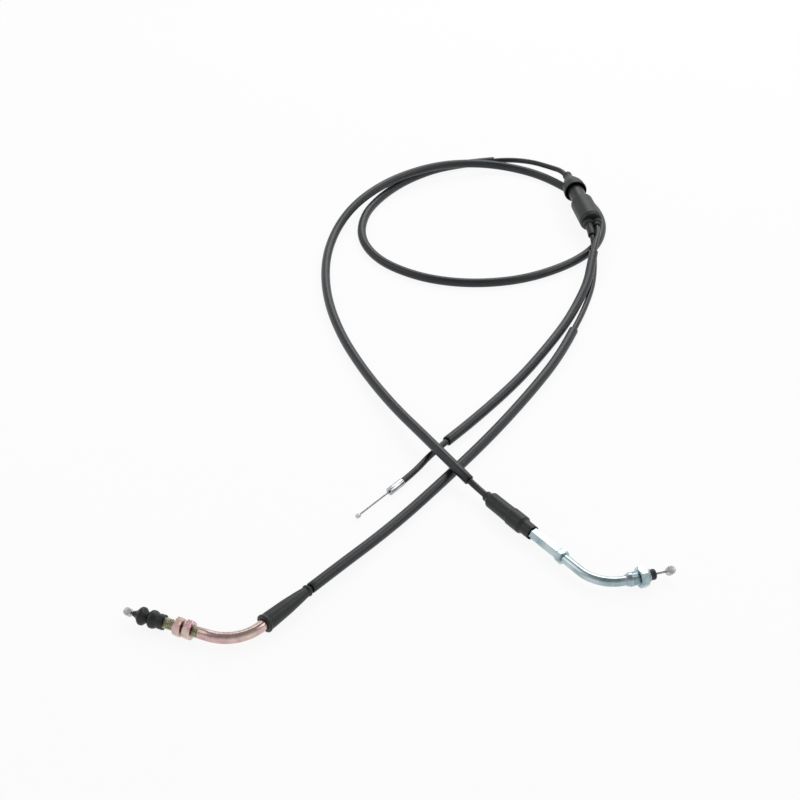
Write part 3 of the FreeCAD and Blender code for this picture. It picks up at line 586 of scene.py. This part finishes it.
bellows = [
    (0, 3.97), (0, 5.3), (4.0, 5.3), (4.4, 4.95), (5.2, 4.9), (5.8, 5.4), (7.3, 6.1),
    (8.0, 6.35), (9.8, 6.35), (10.5, 6.0), (11.8, 4.7), (13.0, 3.5), (14.2, 4.7), (15.6, 6.0),
    (16.2, 6.35), (18.0, 6.35), (18.7, 5.9), (20.2, 4.1), (21.6, 2.7), (24.4, 1.6), (24.4, 1.0),
    (21.6, 1.0), (19.6, 2.0), (6.0, 2.0), (5.0, 3.97),
]
rubber_bellows = finished(moulded(bellows, 2), "rubber_bellows", PUMP_OUTLET, bellows_start,
                          "cable_set", NITRILE_RUBBER, ["pump_bellows"])
nipple_low, nipple_high = span("pump_nipple", PUMP_OUTLET)
nipple_at = (nipple_low + nipple_high) / 2
finished(cross_barrel(*PUMP_NIPPLE), "pump_cast_nipple", PUMP_OUTLET, nipple_at, "pump_pull_end",
         CAST_ZINC, ["pump_nipple"])
wire = strand(BRANCH_WIRE_RADIUS, span("pump_wire_end", PUMP_OUTLET)[0],
              nipple_high + WIRE_SHOWS)
finished(wire, "pump_strand", PUMP_OUTLET, 0, "pump_pull_end", STRAND_STEEL,
         ["pump_wire_end"])


# ---------- carburettor end ----------

ferrule = [(0, 2.72), (0, 3.0), (14.7, 3.0), (14.7, 1.0), (14.1, 0.95), (8.2, 0.95),
           (8.2, 2.72)]
finished(lathed(ferrule, 0.25), "carb_nickel_ferrule", CARB, 0, "cable_set",
         BRIGHT_NICKEL, ["carb_ferrule"])
nipple_low = span("carb_nipple", CARB)[0]
solder_end = [(0, 0.0), (0, 1.7), (3.0, 1.7), (3.0, 0.0)]
finished(lathed(solder_end, 0.35, 48), "carb_cast_nipple", CARB, nipple_low, "carb_pull_end",
         CAST_ZINC, ["carb_nipple"])
wire = strand(BRANCH_WIRE_RADIUS, *span("carb_wire_end", CARB))
finished(wire, "carb_strand", CARB, 0, "carb_pull_end", STRAND_STEEL,
         ["carb_wire_end"])


# ---------- splitter ----------

input_cap = [
    (0, 3.9), (0.6, 4.5), (3.4, 4.5), (4, 4.0), (8, 4.6), (14, 6.75), (22, 9.65), (26, 10.55),
    (33.4, 11.15), (34, 10.7), (34, 9.8), (28, 7.8), (21.9, 7.8), (21.9, 6.2), (18.4, 6.2),
    (18.4, 3.35), (9.8, 3.35), (9.8, 2.95), (0, 2.95),
]
finished(moulded(input_cap), "rubber_input_cap", SPLITTER, 0, "cable_set", NITRILE_RUBBER,
         ["splitter_input_cap"])

output_boot = [
    (56, 7.8), (56, 10.0), (56.7, 10.7), (90.4, 10.7), (90.9, 9.9), (92.6, 9.8), (93, 9.4),
    (93, 0.3), (90.1, 0.3), (90.1, 9.25), (59.9, 9.25), (59.9, 7.8),
]
boot = moulded(output_boot)
for side in (-OUTLET_SIDE, OUTLET_SIDE):
    outlet = moulded([(92, 3.0), (92, 5.2), (97.3, 5.1), (97.8, 4.0), (98.2, 3.0)], 2)
    bmesh.ops.translate(outlet, vec=(0, side, 0), verts=outlet.verts)
    shell = bpy.data.meshes.new("outlet_collar")
    outlet.to_mesh(shell)
    outlet.free()
    boot.from_mesh(shell)
finished(boot, "rubber_output_boot", SPLITTER, 0, "cable_set", NITRILE_RUBBER,
         ["splitter_output_boot"])
# The necks bend with the conduits that leave through them, the pump's reaching further
for name, line in (("carb", carb_line), ("pump", pump_line)):
    inside = [point for point in line
              if OUTLET_NECK_START * MM < (point - line[0]).length < OUTLET_NECK_REACH[name] * MM]
    linked(tube_on(inside, OUTLET_NECK_RADIUS, OUTLET_NECK_WALL), "rubber_" + name + "_outlet_neck",
           "cable_set", NITRILE_RUBBER, [])

for node in frame["nodes"].values():
    for material_slot in node.material_slots:
        material_slot.material = FINISHES[material_slot.material.name]

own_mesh(rubber_bellows)


# ---------- floor, light and camera ----------

WHITE = linear("#ffffff")
FLOOR_WHITE = 0.9             # share of the floor that is plain white; the rest takes shadows
ROOM_LIGHT = 0.42


def seen_white(tree, shader, share, strength=1.0):
    """Mixes plain white into a shader for what the camera and reflections see of it."""
    path = add(tree, "ShaderNodeLightPath", {}, {})
    seen = add(tree, "ShaderNodeMath", {"operation": "MAXIMUM"}, {
        0: path.outputs["Is Camera Ray"], 1: path.outputs["Is Glossy Ray"]})
    seen = add(tree, "ShaderNodeMath", {"operation": "MAXIMUM"}, {
        0: seen.outputs[0], 1: path.outputs["Is Transmission Ray"]})
    amount = add(tree, "ShaderNodeMath", {"operation": "MULTIPLY"}, {0: seen.outputs[0], 1: share})
    white = add(tree, "ShaderNodeEmission", {}, {"Color": WHITE, "Strength": strength})
    mixed = add(tree, "ShaderNodeMixShader", {}, {
        0: amount.outputs[0], 1: shader, 2: white.outputs[0]})
    return mixed.outputs[0]


floor_bm = bmesh.new()
bmesh.ops.create_grid(floor_bm, x_segments=1, y_segments=1, size=6.0,
                      matrix=Matrix.Translation((0, 0, -0.0002)))
floor_mesh = bpy.data.meshes.new("floor")
floor_bm.to_mesh(floor_mesh)
floor_bm.free()
floor = bpy.data.objects.new("floor", floor_mesh)
bpy.context.scene.collection.objects.link(floor)
# Matt white card, which keeps a little of the object's shadow
card = bpy.data.materials.new("white_card")
card.use_nodes = True
card.node_tree.nodes.clear()
matt = add(card.node_tree, "ShaderNodeBsdfDiffuse", {}, {"Color": linear("#f2f2f2")})
seen = seen_white(card.node_tree, matt.outputs[0], FLOOR_WHITE)
add(card.node_tree, "ShaderNodeOutputMaterial", {}, {"Surface": seen})
floor_mesh.materials.append(card)

world = bpy.data.worlds.new("soft_room")
bpy.context.scene.world = world
world.use_nodes = True
world.node_tree.nodes.clear()
room = add(world.node_tree, "ShaderNodeBackground", {}, {
    "Color": WHITE, "Strength": ROOM_LIGHT})
# Gloss sees the white walls, and a ceiling that is darker overhead
direction = add(world.node_tree, "ShaderNodeTexCoord", {}, {}).outputs["Generated"]
height = add(world.node_tree, "ShaderNodeSeparateXYZ", {}, {"Vector": direction}).outputs["Z"]
ceiling = add(world.node_tree, "ShaderNodeMapRange", {}, {
    "Value": height, "From Min": 0.1, "From Max": 0.85, "To Min": 1.0, "To Max": 0.3})
glossy = add(world.node_tree, "ShaderNodeLightPath", {}, {}).outputs["Is Glossy Ray"]
wall = add(world.node_tree, "ShaderNodeMix", {}, {
    "Factor": glossy, 2: 1.0, 3: ceiling.outputs["Result"]})
seen = seen_white(world.node_tree, room.outputs[0], 1.0, wall.outputs[0])
add(world.node_tree, "ShaderNodeOutputWorld", {}, {"Surface": seen})

AIM = Vector((0.05, 0.03, 0))
CAMERA_AT = (-0.004, -1.006, 0.7327)
CAMERA_TILT = 53              # degrees up from straight down
LENS = 67.6
for name, place, size, power in (
    ("key_softbox", (0.3, 1.3, 1.2), 1.2, 12),
    ("right_softbox", (1.3, 0.1, 1.3), 1.0, 7),
    ("left_softbox", (-1.2, 0.1, 1.2), 1.3, 5),
):
    lamp = bpy.data.lights.new(name, "AREA")
    lamp.size = size
    lamp.energy = power
    box = bpy.data.objects.new(name, lamp)
    box.location = place
    box.rotation_euler = (AIM - Vector(place)).to_track_quat("-Z", "Y").to_euler()
    bpy.context.scene.collection.objects.link(box)

lens = bpy.data.cameras.new("camera")
lens.lens = LENS
lens.clip_start = 0.01
camera = bpy.data.objects.new("camera", lens)
camera.location = CAMERA_AT
camera.rotation_euler = (math.radians(CAMERA_TILT), 0, 0)
bpy.context.scene.collection.objects.link(camera)
bpy.context.scene.camera = camera
bpy.context.scene.view_settings.view_transform = "Standard"
